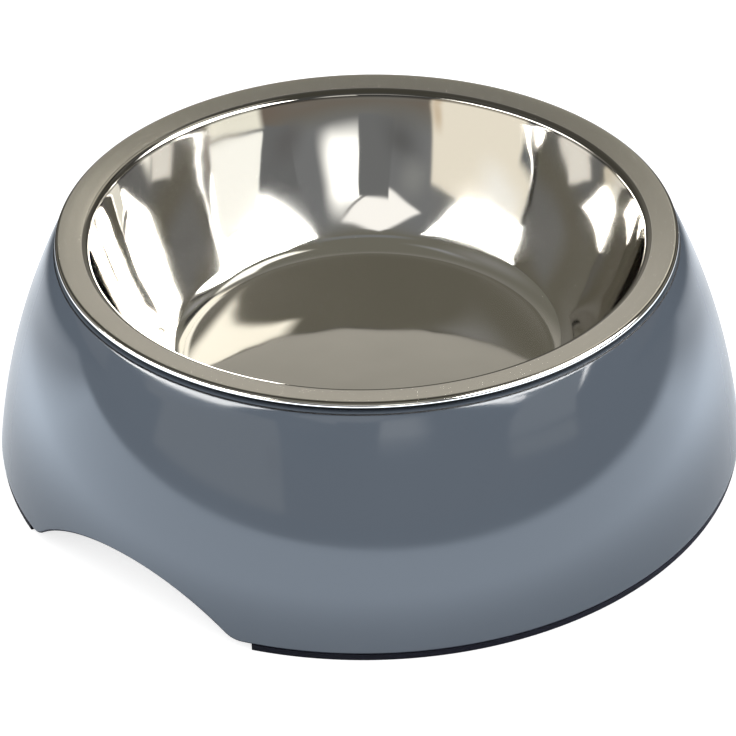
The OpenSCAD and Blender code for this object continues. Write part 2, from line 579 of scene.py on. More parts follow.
    def slide_over_grips(self, piece: bpy.types.Object) -> None:
        """Slides the shell's lower points up along its walls until they clear the arches.

        Args:
            piece: The turned shell, whose mesh is changed.
        """
        above_foot = self.foot_z + self.near
        end = self.strip.end_angle(self.foot_radius, self.grip)
        strip_side = math.sin(math.radians(end)) - self.groove_gap / self.foot_inside
        edges: dict[float, tuple[float, float]] = {}
        for vertex in piece.data.vertices:
            radius = vertex.co.xy.length
            height = vertex.co.z
            if height > self.slide_top:
                continue
            side = round(abs(vertex.co.y) / radius, self.side_digits)
            if side not in edges:
                outer_edge = self.lower_edge(side, self.bell)
                edges[side] = (outer_edge, self.lower_edge(side, self.inside))
            outer_edge, inner_edge = edges[side]
            depth = self.bell(height) - radius
            if depth < self.near:
                share = (self.slide_top - height) / (self.slide_top - self.foot_z)
                height = self.slide_top - share * (self.slide_top - outer_edge)
                radius = self.bell(height)
            elif above_foot < height < self.foot_z + self.lip_radius and depth < self.lip_radius:
                height += outer_edge - self.foot_z
                radius = self.bell(height) - depth
            elif height > above_foot and radius < self.inside(height) + self.near:
                clear = inner_edge + (self.inner_clear if inner_edge > above_foot else 0)
                height = height if height > clear else inner_edge
                radius = self.inside(height)
            elif height < above_foot or side < strip_side:
                across = (radius - self.foot_inside) / (self.foot_radius - self.foot_inside)
                inner = self.inside(inner_edge)
                radius = inner + across * (self.bell(outer_edge) - inner)
                height = self.grip.height(radius * side)
            plan = vertex.co.xy.normalized() * radius
            vertex.co = (plan.x, plan.y, height)
        edit(piece)
        bpy.ops.mesh.remove_doubles(threshold=WELD)
        bpy.ops.mesh.dissolve_degenerate(threshold=WELD)
        bpy.ops.object.mode_set(mode="OBJECT")

    def mark_underside_shade(self, piece: bpy.types.Object) -> None:
        """Gives the piece's second material, painted shade, to the faces that look down under the
        foot and the arches.

        Args:
            piece: The stand, with both its materials.
        """
        top = self.grip.rise + self.underside_margin
        shaded_underside = [
            face
            for face in piece.data.polygons
            if face.normal.z < self.underside_tilt and face.center.z < top
        ]
        for face in shaded_underside:
            face.material_index = 1
        LOG.info("%s: %d faces of its ground edge", piece.name, len(shaded_underside))


@dataclass
class NonSlipStrip:
    """A rubber strip under the stand's front or back, with a stem in the stand's groove."""

    name: str
    middle: float
    stand: Stand
    columns: int = 200
    corner_steps: int = 5
    smooth_angle: float = 40.0

    def build(self) -> bpy.types.Object:
        """Draws the T-shaped section, spins it between the grips and caps its ends.

        Returns:
            The finished strip.
        """
        sizes = self.stand.strip
        out = sizes.outside(self.stand.foot_radius)
        inner = sizes.inside(self.stand.foot_radius)
        middle = sizes.stem_middle(self.stand.foot_radius)
        top = sizes.height
        stem_top = top + sizes.stem_height
        half = sizes.stem / 2
        corner = sizes.corner
        pen = Pen(self.name, (inner + corner, 0.0))
        pen.line_to((out - corner, 0.0))
        pen.arc((out - corner, corner), QUARTER_TURN, self.corner_steps)
        for point in (
            (out, top),
            (middle + half, top),
            (middle + half, stem_top),
            (middle - half, stem_top),
            (middle - half, top),
            (inner, top),
            (inner, corner),
        ):
            pen.line_to(point)
        pen.arc((inner + corner, corner), QUARTER_TURN, self.corner_steps)
        sweep = HALF_TURN - 2 * sizes.end_angle(self.stand.foot_radius, self.stand.grip)
        piece = pen.turn(self.columns, sweep, self.middle - sweep / 2)
        edit(piece)
        bpy.ops.mesh.select_non_manifold(extend=False)
        bpy.ops.mesh.edge_face_add()
        bpy.ops.mesh.select_all(action="SELECT")
        bpy.ops.mesh.normals_make_consistent(inside=False)
        bpy.ops.object.mode_set(mode="OBJECT")
        smooth_by_angle(piece, self.smooth_angle)
        return piece


class Wiring:
    """Adds nodes to a tree and links them."""

    def __init__(self, tree: bpy.types.NodeTree) -> None:
        """Takes the tree that the nodes go into."""
        self.tree = tree

    def add(self, kind: str, **settings: object) -> bpy.types.Node:
        """Adds a node.

        Args:
            kind: The node's type.
            **settings: The node's own options by name.

        Returns:
            The new node.
        """
        node = self.tree.nodes.new(kind)
        for name, value in settings.items():
            setattr(node, name, value)
        return node

    def join(self, source: bpy.types.NodeSocket, target: bpy.types.NodeSocket) -> None:
        """Links an output to an input."""
        self.tree.links.new(source, target)

    def put(self, target: bpy.types.NodeSocket, value: object) -> None:
        """Gives an input a value, or links it where the value is an output.

        Args:
            target: The input.
            value: The number, vector or colour, or another node's output.
        """
        if isinstance(value, bpy.types.NodeSocket):
            self.join(value, target)
        else:
            target.default_value = value

    def math(self, operation: str, *values: object) -> bpy.types.NodeSocket:
        """Adds a Math node.

        Args:
            operation: Blender's name for the operation.
            *values: Numbers or outputs, one for each input.

        Returns:
            The result.
        """
        node = self.add("ShaderNodeMath", operation=operation)
        for target, value in zip(node.inputs, values):
            self.put(target, value)
        return node.outputs[0]

    def blend(self, share: object, first: object, second: object) -> bpy.types.NodeSocket:
        """Mixes two colours.

        Args:
            share: How much of the second colour there is.
            first: The colour at 0.
            second: The colour at 1.

        Returns:
            The mixed colour.
        """
        # Of a Mix node's sockets, 2 and 3 hold numbers, 6 and 7 colours; its outputs are 0 and 2
        node = self.add("ShaderNodeMix", data_type="RGBA")
        self.put(node.inputs["Factor"], share)
        self.put(node.inputs[6], first)
        self.put(node.inputs[7], second)
        return node.outputs[2]

    def between(self, share: object, first: object, second: object) -> bpy.types.NodeSocket:
        """Mixes two numbers.

        Args:
            share: How much of the second number there is.
            first: The number at 0.
            second: The number at 1.

        Returns:
            The mixed number.
        """
        node = self.add("ShaderNodeMix", data_type="FLOAT")
        self.put(node.inputs["Factor"], share)
        self.put(node.inputs[2], first)
        self.put(node.inputs[3], second)
        return node.outputs[0]

    def scale_range(
        self, value: object, low: float, high: float, to_low: float, to_high: float
    ) -> bpy.types.NodeSocket:
        """Maps a value smoothly from one range to another and keeps it there.

        Args:
            value: The value.
            low: Where its range begins.
            high: Where its range ends.
            to_low: The result at the beginning and before it.
            to_high: The result at the end and past it.

        Returns:
            The mapped value.
        """
        node = self.add("ShaderNodeMapRange", interpolation_type="SMOOTHSTEP")
        for target, number in zip(node.inputs, (value, low, high, to_low, to_high)):
            self.put(target, number)
        return node.outputs["Result"]

    def ring_mask(
        self, place: object, inner: float, outer: float, edge: float
    ) -> bpy.types.NodeSocket:
        """Gives 1 between two distances from the vertical axis, with soft edges.

        Args:
            place: The object coordinates.
            inner: The smaller distance.
            outer: The larger distance.
            edge: Half the width of the soft edges.

        Returns:
            The mask.
        """
        parts = self.add("ShaderNodeSeparateXYZ")
        self.put(parts.inputs[0], place)
        squares = [self.math("POWER", parts.outputs[axis], 2.0) for axis in "XY"]
        radius = self.math("SQRT", self.math("ADD", *squares))
        begun = self.scale_range(radius, inner - edge, inner + edge, 0.0, 1.0)
        ended = self.scale_range(radius, outer - edge, outer + edge, 1.0, 0.0)
        return self.math("MULTIPLY", begun, ended)

    def length(self, vector: bpy.types.NodeSocket) -> bpy.types.NodeSocket:
        """Gives the length of a vector.

        Args:
            vector: The vector.

        Returns:
            Its length.
        """
        node = self.add("ShaderNodeVectorMath", operation="LENGTH")
        self.join(vector, node.inputs[0])
        return node.outputs["Value"]

    def dot(
        self, vector: bpy.types.NodeSocket, axis: tuple[float, float, float]
    ) -> bpy.types.NodeSocket:
        """Gives how far a vector reaches along an axis.

        Args:
            vector: The vector.
            axis: The axis, of length 1.

        Returns:
            The reach.
        """
        node = self.add("ShaderNodeVectorMath", operation="DOT_PRODUCT")
        self.join(vector, node.inputs[0])
        node.inputs[1].default_value = axis
        return node.outputs["Value"]

    def principled(self) -> bpy.types.NodeInputs:
        """Gives the inputs of the Principled shader that a new material comes with."""
        return self.tree.nodes["Principled BSDF"].inputs

    def noise(self, place: object, size: object, detail: float) -> bpy.types.NodeSocket:
        """Adds a noise pattern.

        Args:
            place: The coordinates.
            size: How many of its patches a metre holds.
            detail: How many finer layers it has.

        Returns:
            The pattern's value.
        """
        node = self.add("ShaderNodeTexNoise")
        node.inputs["Detail"].default_value = detail
        self.put(node.inputs["Vector"], place)
        self.put(node.inputs["Scale"], size)
        return node.outputs[0]

    def bump(
        self, height: bpy.types.NodeSocket, strength: float, depth: float
    ) -> bpy.types.NodeSocket:
        """Turns a height into a normal.

        Args:
            height: The height from 0 to 1.
            strength: How much of the bump counts.
            depth: How deep it is at full height.

        Returns:
            The normal.
        """
        node = self.add("ShaderNodeBump")
        node.inputs["Strength"].default_value = strength
        node.inputs["Distance"].default_value = depth
        self.join(height, node.inputs["Height"])
        return node.outputs[0]

    def shade(self, kind: str, colour: object) -> bpy.types.NodeSocket:
        """Adds a shader of one colour, such as an emission or a background.

        Args:
            kind: The shader's type.
            colour: The colour, or another node's output.

        Returns:
            The shader.
        """
        node = self.add(kind)
        self.put(node.inputs["Color"], colour)
        return node.outputs[0]

    def mix_shaders(
        self, share: object, first: bpy.types.NodeSocket, second: bpy.types.NodeSocket
    ) -> bpy.types.NodeSocket:
        """Mixes two shaders.

        Args:
            share: How much of the second shader there is.
            first: The shader at 0.
            second: The shader at 1.

        Returns:
            The mixed shader.
        """
        node = self.add("ShaderNodeMixShader")
        for target, value in zip(node.inputs, (share, first, second)):
            self.put(target, value)
        return node.outputs[0]


class Effect:
    """A shader node group with named inputs and outputs, built once and placed in many trees."""

    def __init__(self, name: str, inputs: dict[str, object], outputs: dict[str, str]) -> None:
        """Makes an empty group.

        Args:
            name: The group's name.
            inputs: The name and the first value of each input; a tuple is a vector.
            outputs: The name and the kind of each output.
        """
        self.group = bpy.data.node_groups.new(name, "ShaderNodeTree")
        for label, value in inputs.items():
            kind = "NodeSocketVector" if isinstance(value, tuple) else "NodeSocketFloat"
            socket = self.group.interface.new_socket(label, in_out="INPUT", socket_type=kind)
            socket.default_value = value
        for label, kind in outputs.items():
            self.group.interface.new_socket(label, in_out="OUTPUT", socket_type=kind)
        self.wiring = Wiring(self.group)
        self.given = self.wiring.add("NodeGroupInput").outputs
        self.result = self.wiring.add("NodeGroupOutput").inputs

    def place(self, wiring: Wiring, **values: object) -> bpy.types.NodeOutputs:
        """Places the group in a tree.

        Args:
            wiring: The tree it goes into.
            **values: A number or an output for each input, by its name in lower case.

        Returns:
            The group's outputs.
        """
        node = wiring.add("ShaderNodeGroup", node_tree=self.group)
        for label, value in values.items():
            wiring.put(node.inputs[label.replace("_", " ").capitalize()], value)
        return node.outputs


# How many finer layers the grain and the drift have
GRAIN_DETAIL = 3.0
DRIFT_DETAIL = 2.0


def fine_grain() -> Effect:
    """Makes the effect of a worked skin: a fine uneven height and a slow drift of the finish.

    Returns:
        The effect, with the height and the drift as outputs.
    """
    effect = Effect(
        "fine_grain",
        {"Place": (0.0, 0.0, 0.0), "Grain size": 1500.0, "Drift size": 25.0},
        {"Height": "NodeSocketFloat", "Drift": "NodeSocketFloat"},
    )
    wiring = effect.wiring
    given = effect.given
    grain = wiring.noise(given["Place"], given["Grain size"], GRAIN_DETAIL)
    drift = wiring.noise(given["Place"], given["Drift size"], DRIFT_DETAIL)
    wiring.join(grain, effect.result["Height"])
    wiring.join(drift, effect.result["Drift"])
    return effect


@dataclass(frozen=True)
class Finish:
    """What every finish has: a name, the sizes of its grain and a way to start its material."""

    name: str
    grain_size: float
    drift_size: float

    def start(
        self, grain: Effect
    ) -> tuple[bpy.types.Material, Wiring, bpy.types.NodeSocket, bpy.types.NodeOutputs]:
        """Makes a material with a Principled shader.

        Args:
            grain: The effect that gives the fine grain and the drift.

        Returns:
            The material, its wiring, the place on the piece and the effect's outputs.
        """
        material = bpy.data.materials.new(self.name)
        material.use_nodes = True
        wiring = Wiring(material.node_tree)
        place = wiring.add("ShaderNodeTexCoord").outputs["Object"]
        outs = grain.place(
            wiring, place=place, grain_size=self.grain_size, drift_size=self.drift_size
        )
        return material, wiring, place, outs


@dataclass(frozen=True)
class PolishedSteel(Finish):
    """Steel with a mirror-polished inside and bead, and a satin band on the rim between them."""

    name: str = "polished_steel"
    grain_size: float = 1800.0
    drift_size: float = 30.0
    tint: Colour = (0.74, 0.72, 0.68, 1.0)
    rim_tint: Colour = (0.62, 0.60, 0.55, 1.0)
    # Painted shade for the dark rings in the rim's folds
    crease_painted_shade: Colour = (0.24, 0.23, 0.21, 1.0)
    # Painted shadow for the bead's underside
    under_bead_painted_shadow: Colour = (0.02, 0.02, 0.02, 1.0)
    mirror: float = 0.05
    mirror_low_share: float = 0.6
    mirror_high_share: float = 1.6
    satin: float = 0.20
    wave_strength: float = 1.0
    wave_depth: float = 0.22 * MM
    # Distances from the bowl's axis between which each ring lies; the crease and brim rings are
    # painted shade, the under ring a painted shadow
    satin_from: float = 73.9 * MM
    satin_to: float = 79.8 * MM
    satin_edge: float = 0.12 * MM
    crease_from: float = 71.9 * MM
    crease_to: float = 73.8 * MM
    brim_from: float = 79.85 * MM
    brim_to: float = 80.3 * MM
    # The bead's painted shadow lies outside this radius and below this height
    under_radius: float = 80.0 * MM
    under_height: float = 61.95 * MM
    dark_edge: float = 0.1 * MM

    def make(self, grain: Effect) -> bpy.types.Material:
        """Builds the material.

        Args:
            grain: The effect that gives the fine grain and the drift.

        Returns:
            The material.
        """
        material, wiring, place, outs = self.start(grain)
        shader = wiring.principled()
        shader["Metallic"].default_value = 1.0
        rim = wiring.ring_mask(place, self.satin_from, self.satin_to, self.satin_edge)
        wiring.join(self.colours(wiring, place, rim), shader["Base Color"])
        wave = wiring.bump(outs["Drift"], self.wave_strength, self.wave_depth)
        wiring.join(wave, shader["Normal"])
        low, high = self.mirror * self.mirror_low_share, self.mirror * self.mirror_high_share
        polish = wiring.scale_range(outs["Drift"], DRIFT_LOW, DRIFT_HIGH, low, high)
        wiring.join(wiring.between(rim, polish, self.satin), shader["Roughness"])
        return material

    def colours(
        self, wiring: Wiring, place: bpy.types.NodeSocket, rim: bpy.types.NodeSocket
    ) -> bpy.types.NodeSocket:
        """Gives the steel's colour, with painted shade as dark rings in the rim's folds and a
        painted shadow under its bead.

        Args:
            wiring: The material's wiring.
            place: The place on the piece.
            rim: The mask of the rim's satin band.

        Returns:
            The colour.
        """
        edge = self.dark_edge
        parts = wiring.add("ShaderNodeSeparateXYZ")
        wiring.join(place, parts.inputs[0])
        begin, end = self.under_height - edge, self.under_height + edge
        low = wiring.scale_range(parts.outputs["Z"], begin, end, 1.0, 0.0)
        outside = wiring.ring_mask(place, self.under_radius, OPEN_END, edge)
        crease = wiring.ring_mask(place, self.crease_from, self.crease_to, edge)
        brim = wiring.ring_mask(place, self.brim_from, self.brim_to, edge)
        # The crease and brim rings are painted shade in the rim's folds
        folds = wiring.math("MAXIMUM", crease, brim)
        plain = wiring.blend(rim, self.tint, self.rim_tint)
        tint = wiring.blend(folds, plain, self.crease_painted_shade)
        # Painted shadow on the bead's outside, below its middle
        under = wiring.math("MULTIPLY", low, outside)
        return wiring.blend(under, tint, self.under_bead_painted_shadow)


@dataclass(frozen=True)
class GlossyMelamine(Finish):
    """The stand's glossy blue-grey skin, with a dark ring of painted shade where the bowl's bead
    meets it.
    """

    name: str = "glossy_melamine"
    grain_size: float = 900.0
    drift_size: float = 18.0
    colour: Colour = screen_colour(99, 108, 119)
    dark_share: float = 0.93
    polish: float = 0.075
    polish_low_share: float = 0.8
    polish_high_share: float = 1.3
    specular: float = 0.32
    # A dark ring of painted shade about the stand's axis, where the bowl's bead meets the stand, in
    # place of the shadow in the gap
    painted_seam_shade: Colour = screen_colour(12, 12, 14)
    seam_from: float = 81.0 * MM
    seam_to: float = 81.3 * MM
    seam_edge: float = 0.08 * MM
    seam_roughness: float = 0.7
    bump_strength: float = 0.02
    bump_depth: float = 0.05 * MM

    def make(self, grain: Effect) -> bpy.types.Material:
        """Builds the material.

        Args:
            grain: The effect that gives the fine grain and the drift.

        Returns:
            The material.
        """
        material, wiring, place, outs = self.start(grain)
        shader = wiring.principled()
        shader["Specular IOR Level"].default_value = self.specular
        body = wiring.blend(outs["Drift"], dimmed(self.colour, self.dark_share), self.colour)
        # Painted shade on the ring where the bead meets the stand, dulled so that it hardly mirrors
        painted_seam_shade = wiring.ring_mask(place, self.seam_from, self.seam_to, self.seam_edge)
        wiring.join(wiring.blend(painted_seam_shade, body, self.painted_seam_shade), shader["Base Color"])
        low, high = self.polish * self.polish_low_share, self.polish * self.polish_high_share
        rough = wiring.scale_range(outs["Drift"], DRIFT_LOW, DRIFT_HIGH, low, high)
        dulled = wiring.math("MULTIPLY", painted_seam_shade, self.seam_roughness)
        wiring.join(wiring.math("MAXIMUM", rough, dulled), shader["Roughness"])
        skin = wiring.bump(outs["Height"], self.bump_strength, self.bump_depth)
        wiring.join(skin, shader["Normal"])
        return material


@dataclass(frozen=True)
class DullFinish(Finish):
    """A dark, dull skin that hardly mirrors anything."""

    colour: Colour
    rough_low: float
    rough_high: float
    bump_strength: float
    bump_depth: float
    dark_share: float = 0.7
    specular: float = 0.12

    def make(self, grain: Effect) -> bpy.types.Material:
        """Builds the material.

        Args:
            grain: The effect that gives the fine grain and the drift.

        Returns:
            The material.
        """
        material, wiring, _, outs = self.start(grain)
        shader = wiring.principled()
        shader["Specular IOR Level"].default_value = self.specular
        body = wiring.blend(outs["Drift"], dimmed(self.colour, self.dark_share), self.colour)
        wiring.join(body, shader["Base Color"])
        rough = wiring.scale_range(
            outs["Drift"], DRIFT_LOW, DRIFT_HIGH, self.rough_low, self.rough_high
        )
        wiring.join(rough, shader["Roughness"])
        skin = wiring.bump(outs["Height"], self.bump_strength, self.bump_depth)
        wiring.join(skin, shader["Normal"])
        return material


@dataclass(frozen=True)
class UndersideShade(DullFinish):
    """The dark underside of the foot and the grips: painted shade on the faces that look down."""

    name: str = "underside_painted_shade"
    grain_size: float = 2500.0
    drift_size: float = 60.0
    colour: Colour = screen_colour(34, 38, 50)
    rough_low: float = 0.45
    rough_high: float = 0.6
    bump_strength: float = 0.3
    bump_depth: float = 0.05 * MM


@dataclass(frozen=True)
class StripRubber(DullFinish):
    """The strips' near-black navy rubber."""

    name: str = "strip_rubber"
    grain_size: float = 3000.0
    drift_size: float = 80.0
    colour: Colour = screen_colour(12, 13, 24)
    rough_low: float = 0.55
    rough_high: float = 0.7
    bump_strength: float = 0.4
    bump_depth: float = 0.08 * MM


@dataclass(frozen=True)
class Vantage:
    """Where the picture is taken from."""

    azimuth: float = -50.1
    elevation: float = 34.93
    distance: float = 706.0 * MM
    lens: float = 128.06
    roll: float = -1.06
    aside: float = -0.30 * MM
    target_height: float = 16.9 * MM
    sensor: float = 36.0
    clip_start: float = 0.01
    clip_end: float = 50.0

    def right(self) -> Vector:
        """Gives the direction of the picture's right."""
        angle = math.radians(self.azimuth)
        return Vector((math.cos(angle), math.sin(angle), 0))

    def back(self) -> Vector:
        """Gives the direction from the object to the camera.

        Returns:
            The unit vector.
        """
        angle = math.radians(self.azimuth)
        rise = math.radians(self.elevation)
        level = math.cos(rise)
        return Vector((math.sin(angle) * level, -math.cos(angle) * level, math.sin(rise)))

    def set_up(self) -> None:
        """Adds the camera and makes it the scene's own."""
        lens = bpy.data.cameras.new("camera")
        lens.lens = self.lens
        lens.sensor_width = self.sensor
        lens.clip_start = self.clip_start
        lens.clip_end = self.clip_end
        camera = bpy.data.objects.new("camera", lens)
        bpy.context.scene.collection.objects.link(camera)
        right = self.right()
        back = self.back()
        turned = Matrix((right, back.cross(right), back)).transposed().to_4x4()
        target = self.aside * right + Vector((0, 0, self.target_height))
        place = Matrix.Translation(target + self.distance * back)
        camera.matrix_world = place @ turned @ Matrix.Rotation(math.radians(self.roll), 4, "Z")
        bpy.context.scene.camera = camera


@dataclass(frozen=True)
class LightBox:
    """A soft light, or a dull board, far away in one direction, which only reflections see.

    Angles are in degrees. Azimuth is counted from the camera's side towards the picture's right,
    and lean and slope slant the upright and the level edges. Softness is the share of each half
    that fades out, and a radiance of 1 is white paper's.
    """

    name: str
    azimuth: float
    elevation: float
    width: float
    height: float
    lean: float
    slope: float
    softness: float
    colour: tuple[float, float, float]
    radiance: float


WHITE = (1.0, 0.99, 0.97)
# How bright the windows are next to white paper
WINDOW = 26.0
CREAM = (1.0, 0.95, 0.82)
# A later box lies over the earlier ones
LIGHT_BOXES = (
    LightBox("grey room", 5, 20, 125, 27, 0, 0, 0.5, (0.93, 0.96, 1.0), 0.235),
    LightBox("left glow", -85, 45, 60, 50, 0, 0, 1.0, (1, 0.99, 0.94), 0.27),
    LightBox("left haze", -70, 64, 40, 13, 0, 0, 1.0, (0.96, 0.98, 1), 0.34),
    LightBox("left beyond", -104, 8, 50, 26, 0, 0, 1.0, (1, 0.98, 0.94), 0.6),
    LightBox("far high", 180, 56, 60, 40, 0, 0, 1.0, (1.0, 0.97, 0.90), 0.28),
    LightBox("far wall", 180, 20, 84, 62, 0, 0, 1.0, (1.0, 0.96, 0.87), 0.62),
    LightBox("far floor line", 180, 0, 150, 14, 0, 0, 0.5, WHITE, 0.05),
    LightBox("far patch", 160, 41, 17, 22, -0.3, 0, 0.3, CREAM, 1.4),
    LightBox("far finger", 142, 42, 9, 20, 0, 0, 0.5, WHITE, 0.05),
    LightBox("far grey", 126, 38, 14, 30, 0, 0, 0.8, WHITE, 0.36),
    LightBox("centre arch", 5, 41, 64, 14, 0, 0, 0.6, (0.95, 0.98, 1), 0.24),
    LightBox("right window", 62, 28, 66.8, 33.7, 1.24, -0.61, 0.10, WHITE, WINDOW),
    LightBox("right white", 81, 34, 46, 30, 0, 0, 0.25, WHITE, WINDOW),
    LightBox("right shade", 43, 13.8, 22, 13.5, 0, -0.18, 0.1, (0.94, 0.97, 1.0), 0.19),
    LightBox("right panel", 60.6, 12.3, 28, 14.2, 0.85, -0.17, 0.08, (1, 1, 0.95), 1.3),
    LightBox("right bar", 63, 19.3, 34, 1.6, 0, -0.20, 0.4, WHITE, 0.2),
    LightBox("right sill", 55, 4.4, 27, 3.4, 0, -0.17, 0.3, (1, 0.98, 0.86), 1.1),
    LightBox("right corner", 87.6, 7, 35, 26, 0.85, 0, 0.3, WHITE, 0.18),
    LightBox("right post", 113.5, 34, 4, 26, 0, 0, 0.4, WHITE, 0.04),
    LightBox("high band", 100, 60, 46, 13, 0, -0.25, 0.35, (1, 0.98, 0.90), 1.8),
    LightBox("soft blob", 8.8, 20.0, 26, 19, 0, 0, 0.7, (1, 1, 0.97), 2.2),
    LightBox("rhomboid", -7.2, 26.9, 61, 10.2, -5.7, 0.318, 0.2, WHITE, 1.3),
    LightBox("rhomboid bar", 5, 25.6, 18, 0.8, 0, 0.30, 0.5, WHITE, 0.35),
    LightBox("centre board", -4.5, 17.5, 15, 15, 0.1, 0, 0.12, (0.94, 0.97, 1.0), 0.20),
    LightBox("centre dusk", -16, 14, 24, 12, -0.4, 0, 1.0, (0.96, 0.98, 1.0), 0.15),
    LightBox("centre haze", -23, 20, 18, 9, 0.4, 0, 1.0, (0.97, 1, 1), 0.30),
    LightBox("right dusk", 34, 12, 22, 10, 0.5, 0, 1.0, (0.98, 0.98, 1.0), 0.16),
    LightBox("left cream", -53, 10, 51, 21.2, -0.30, 0, 0.08, (1, 0.94, 0.81), 1.05),
    LightBox("left pale", -66, 15, 34, 12, 0, 0, 0.8, (1, 0.99, 0.94), 1.15),
    LightBox("left warm", -30, 8, 7, 9, -0.4, 0, 0.9, (1, 0.84, 0.64), 0.80),
    LightBox("left corner", -75, 2, 14, 14, 0, 0, 0.4, (0.95, 1, 1), 0.20),
    LightBox("left edge", -88, 8, 16, 30, -0.2, 0, 0.2, WHITE, 0.2),
    LightBox("left white", -68, 19.1, 35, 6.2, 1.79, 0.21, 0.15, WHITE, WINDOW),
    LightBox("low centre", 6, 4, 70, 8, 0, 0, 0.5, (1, 0.93, 0.84), 0.20),
)


@dataclass
class Studio:
    """The pale floor, the white backdrop and the soft lights round the object."""

    vantage: Vantage
    # The floor as the camera sees it
    floor_radius: float = 6.0
    floor_sides: int = 64
    floor_albedo: float = 0.80
    floor_glow: float = 0.70
    # The bright sheet that reflections see in its place, less bright near the object and behind it
    sheet_glow: float = 2.9
    sheet_tint: Colour = (0.86, 1.0, 1.17, 1.0)
    sheet_shade: float = 0.10
    shade_from: float = 0.10
    shade_to: float = 0.175
    fade_share: float = 0.2
    fade_from: float = -0.01
    fade_to: float = 0.08
    behind: Colour = (0.05, 0.05, 0.05, 1.0)
    behind_from: float = 0.09
    behind_to: float = 0.15
    sheet_radius: float = 0.46
    sheet_shift: float = -0.12
    sheet_edge: float = 0.06
    beyond: Colour = (0.15, 0.15, 0.15, 1.0)
    # The even light on the object, and the room that reflections see behind the light boxes
    plain_light: Colour = (0.97, 0.97, 0.97, 1.0)
    low_room: Colour = (0.20, 0.16, 0.135, 1.0)
    high_room: Colour = (0.19, 0.185, 0.155, 1.0)
    room_from: float = 4.0
    room_to: float = 12.0
    paper: Colour = (1.0, 1.0, 1.0, 1.0)

    def glow_strength(self, wiring: Wiring) -> bpy.types.NodeSocket:
        """Gives the floor's glow: even for the camera, and for reflections less near the object.

        Args:
            wiring: The floor's wiring.

        Returns:
            The strength.
        """
        path = wiring.add("ShaderNodeLightPath").outputs
        direct = wiring.math("MAXIMUM", path["Is Camera Ray"], path["Is Transmission Ray"])
        seen = wiring.math("MULTIPLY", direct, self.floor_glow)
        distance = wiring.length(wiring.add("ShaderNodeTexCoord").outputs["Object"])
        shaded = self.sheet_glow * self.sheet_shade
        sheet = wiring.scale_range(
            distance, self.shade_from, self.shade_to, shaded, self.sheet_glow
        )
        fading = wiring.scale_range(
            self.depth(wiring), self.fade_from, self.fade_to, 1.0, self.fade_share
        )
        share = wiring.math("MULTIPLY", path["Is Glossy Ray"], fading)
        return wiring.math("MAXIMUM", seen, wiring.math("MULTIPLY", share, sheet))

    def floor(self) -> None:
        """Adds the floor, which is white where nothing shades it."""
        deselect_all()
        bpy.ops.mesh.primitive_circle_add(
            vertices=self.floor_sides, radius=self.floor_radius, fill_type="NGON"
        )
        floor = bpy.context.object
        floor.name = "studio_floor"
        material = bpy.data.materials.new("pale_floor")
        material.use_nodes = True
        tree = material.node_tree
        tree.nodes.clear()
        wiring = Wiring(tree)
        glow = wiring.add("ShaderNodeEmission")
        wiring.join(self.glow_strength(wiring), glow.inputs["Strength"])
        glossy = wiring.add("ShaderNodeLightPath").outputs["Is Glossy Ray"]
        wiring.join(wiring.blend(glossy, self.paper, self.sheet_tint), glow.inputs["Color"])
        total = wiring.add("ShaderNodeAddShader")
        albedo = dimmed(self.paper, self.floor_albedo)
        wiring.join(wiring.shade("ShaderNodeBsdfDiffuse", albedo), total.inputs[0])
        wiring.join(glow.outputs[0], total.inputs[1])
        behind = wiring.scale_range(self.depth(wiring), self.behind_from, self.behind_to, 0.0, 1.0)
        dull = wiring.shade("ShaderNodeEmission", wiring.blend(behind, self.beyond, self.behind))
        share = self.past_the_sheet(wiring, behind)
        output = wiring.add("ShaderNodeOutputMaterial")
        wiring.join(wiring.mix_shaders(share, total.outputs[0], dull), output.inputs["Surface"])
        floor.data.materials.append(material)

    def depth(self, wiring: Wiring) -> bpy.types.NodeSocket:
        """Gives how far a place on the floor lies behind the object's middle, seen from the camera.

        Args:
            wiring: The floor's wiring.

        Returns:
            The distance, which is negative in front of the object.
        """
        right = self.vantage.right()
        place = wiring.add("ShaderNodeTexCoord").outputs["Object"]
        return wiring.dot(place, (-right.y, right.x, 0.0))

    def past_the_sheet(self, wiring: Wiring, behind: bpy.types.NodeSocket) -> bpy.types.NodeSocket:
        """Says where a glossy ray meets the floor behind the object or beyond the white sheet.

        Args:
            wiring: The floor's wiring.
            behind: The mask of the floor behind the object.

        Returns:
            The mask, which is 1 there.
        """
        shift = wiring.add("ShaderNodeVectorMath", operation="SUBTRACT")
        wiring.join(wiring.add("ShaderNodeTexCoord").outputs["Object"], shift.inputs[0])
        shift.inputs[1].default_value = self.sheet_shift * self.vantage.right()
        distance = wiring.length(shift.outputs[0])
        near, far = self.sheet_radius - self.sheet_edge, self.sheet_radius + self.sheet_edge
        beyond = wiring.scale_range(distance, near, far, 0.0, 1.0)
        glossy = wiring.add("ShaderNodeLightPath").outputs["Is Glossy Ray"]
        return wiring.math("MULTIPLY", wiring.math("MAXIMUM", beyond, behind), glossy)

